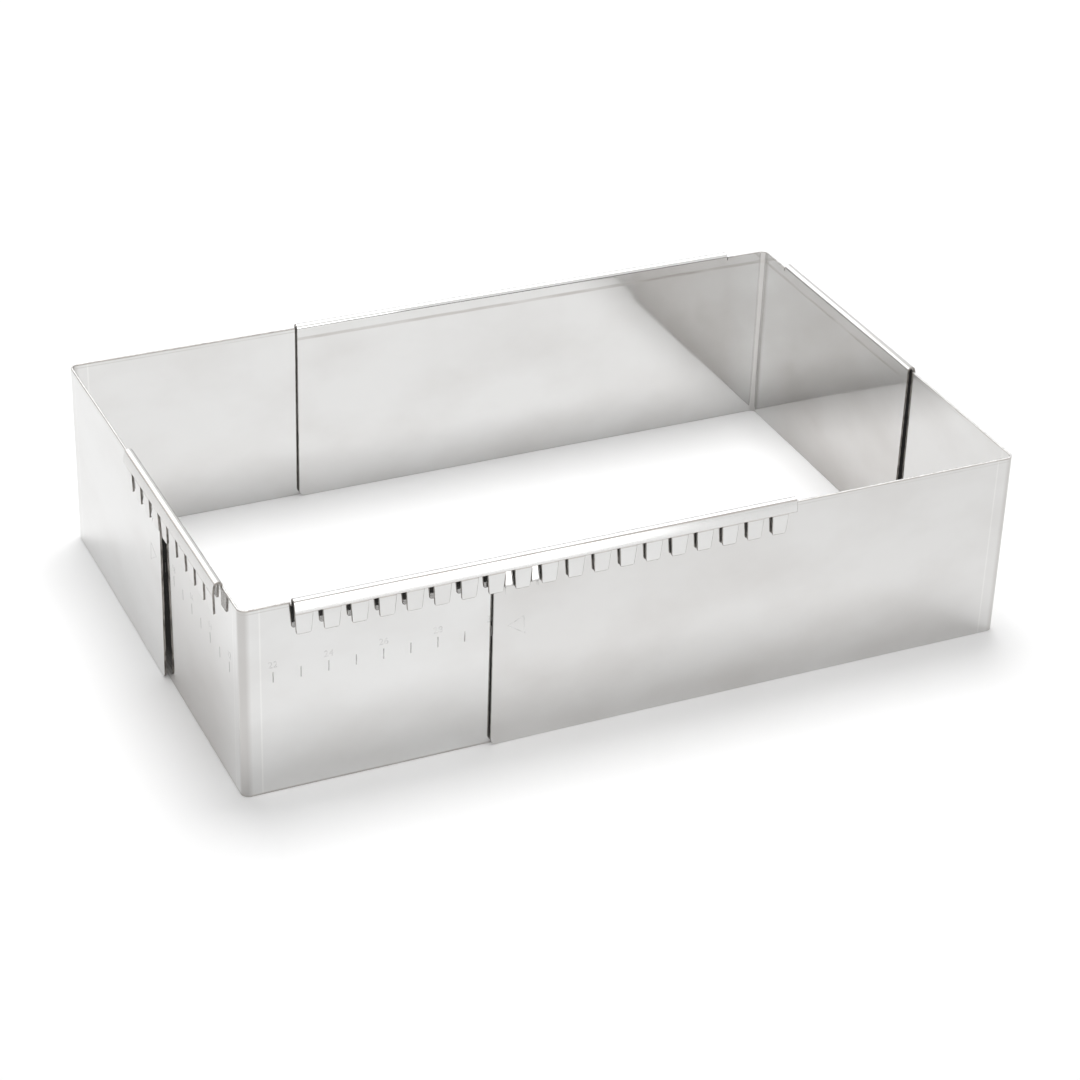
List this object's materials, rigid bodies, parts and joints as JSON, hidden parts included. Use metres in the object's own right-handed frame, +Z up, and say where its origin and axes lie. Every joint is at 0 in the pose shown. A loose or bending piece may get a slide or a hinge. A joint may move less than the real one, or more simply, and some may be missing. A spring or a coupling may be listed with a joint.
{
  "type": "adjustable cake frame",
  "caption": "Open rectangular baking frame of bent stainless sheet, whose L-shaped walls slide in toothed rails to set its length and width.",
  "frame": {"origin": "middle of the base, on the surface that the frame stands on, at the setting in which it is stored", "axes": "+X along the long side, from the front left railed angle to the front right plain angle; +Y along the short side, from front to back; +Z up"},
  "size_m": [0.3046, 0.197, 0.0769],
  "materials": {
    "stainless_steel": "bright, slightly blurred mirror"
  },
  "bodies": {
    "front_left": {"front_left_railed_angle": "stainless_steel"},
    "front_right": {"front_right_plain_angle": "stainless_steel"},
    "back_left": {"back_left_plain_angle": "stainless_steel"},
    "back_right": {"back_right_railed_angle": "stainless_steel"}
  },
  "joints": [
    {"name": "length_slide", "type": "slide", "parent": "front_left", "child": "front_right", "axis": [1, 0, 0], "range_m": [-0.08, 0.09]},
    {"name": "width_slide", "type": "slide", "parent": "front_left", "child": "back_left", "axis": [0, 1, 0], "range_m": [-0.07, 0.01]},
    {"name": "right_width_slide", "type": "slide", "parent": "front_right", "child": "back_right", "axis": [0, 1, 0], "range_m": [-0.07, 0.01]}
  ],
  "couplings": [
    {"joint": "right_width_slide", "follows": "width_slide", "ratio": 1}
  ]
}
